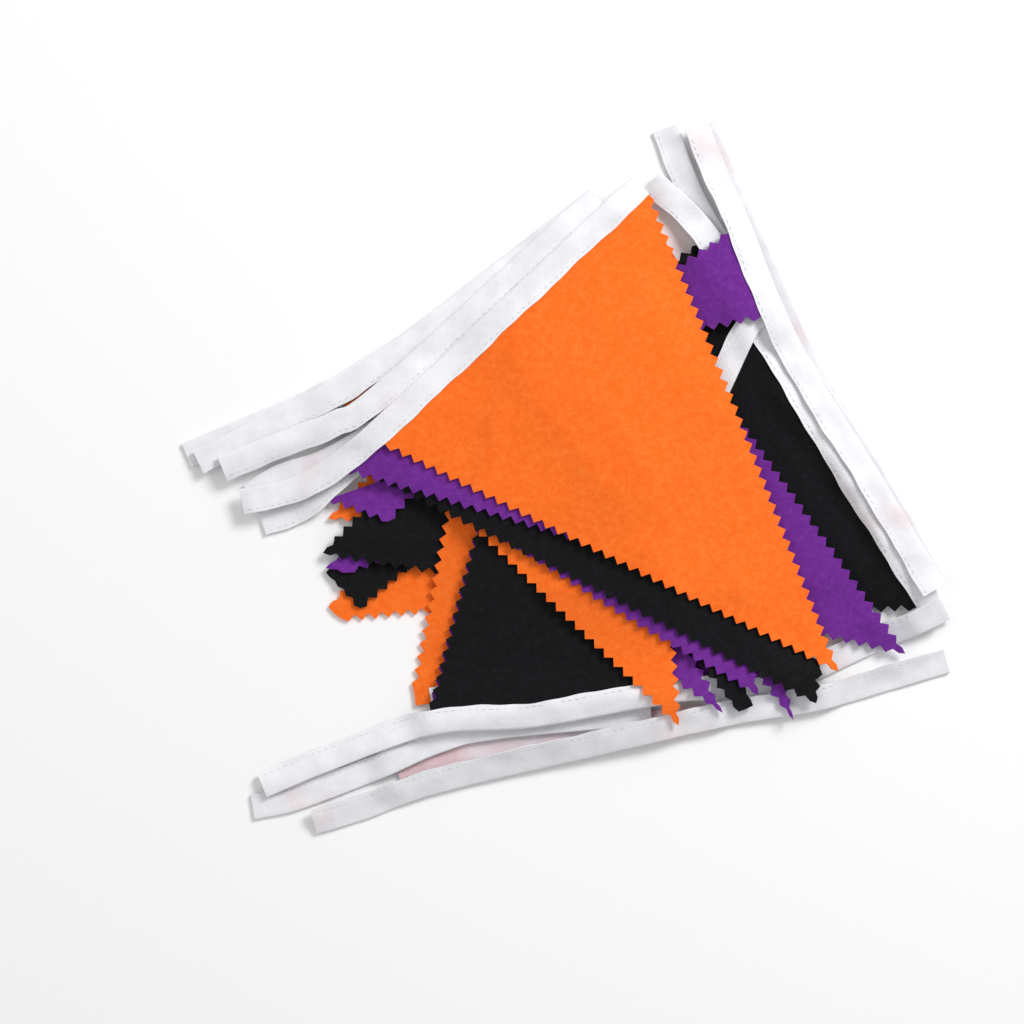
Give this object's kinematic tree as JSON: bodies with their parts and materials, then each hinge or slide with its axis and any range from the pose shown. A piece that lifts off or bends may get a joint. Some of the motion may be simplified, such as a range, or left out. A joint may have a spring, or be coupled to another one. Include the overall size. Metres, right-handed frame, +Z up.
{
  "type": "felt flag bunting gathered flat",
  "caption": "Three-cornered felt flags with pinked sides on a folded white tape, gathered into a fanned bundle and laid flat for storage",
  "frame": {"origin": "Middle of the bundle's outline, on the surface that it lies on", "axes": "+Z up, away from the surface; +Y towards the top of the picture and +X towards its right, seen from above"},
  "size_m": [0.3144, 0.292, 0.0265],
  "materials": {
    "felt_orange": "matte pressed felt, bright orange",
    "felt_purple": "matte pressed felt, purple",
    "felt_black": "matte pressed felt, black",
    "tape_white": "plain woven cotton tape, folded and stitched, white"
  },
  "bodies": {
    "root": {"flag_orange_low": "felt_orange", "flag_orange_left": "felt_orange", "flag_orange_upright": "felt_orange", "flag_orange_second": "felt_orange", "flag_orange_top": "felt_orange", "flag_purple_low": "felt_purple", "flag_purple_folded": "felt_purple", "flag_purple_left": "felt_purple", "flag_purple_fourth": "felt_purple", "flag_purple_right": "felt_purple", "flag_purple_upright": "felt_purple", "flag_purple_low_tip": "felt_purple", "flag_purple_third": "felt_purple", "flag_purple_second": "felt_purple", "flag_black_low": "felt_black", "flag_black_left": "felt_black", "flag_black_right": "felt_black", "flag_black_upright": "felt_black", "flag_black_low_tip": "felt_black", "flag_black_second": "felt_black", "tape_right_outer": "tape_white", "tape_right_third": "tape_white", "tape_right_second": "tape_white", "tape_right_top": "tape_white", "tape_right_corner": "tape_white", "tape_turned_back": "tape_white", "tape_bottom_under": "tape_white", "tape_bottom_fourth": "tape_white", "tape_bottom_second": "tape_white", "tape_bottom_first": "tape_white", "tape_bottom_front": "tape_white", "tape_left_fifth": "tape_white", "tape_left_fourth": "tape_white", "tape_left_third": "tape_white", "tape_left_second": "tape_white", "tape_left_inner": "tape_white", "tape_left_top": "tape_white"}
  },
  "joints": []
}
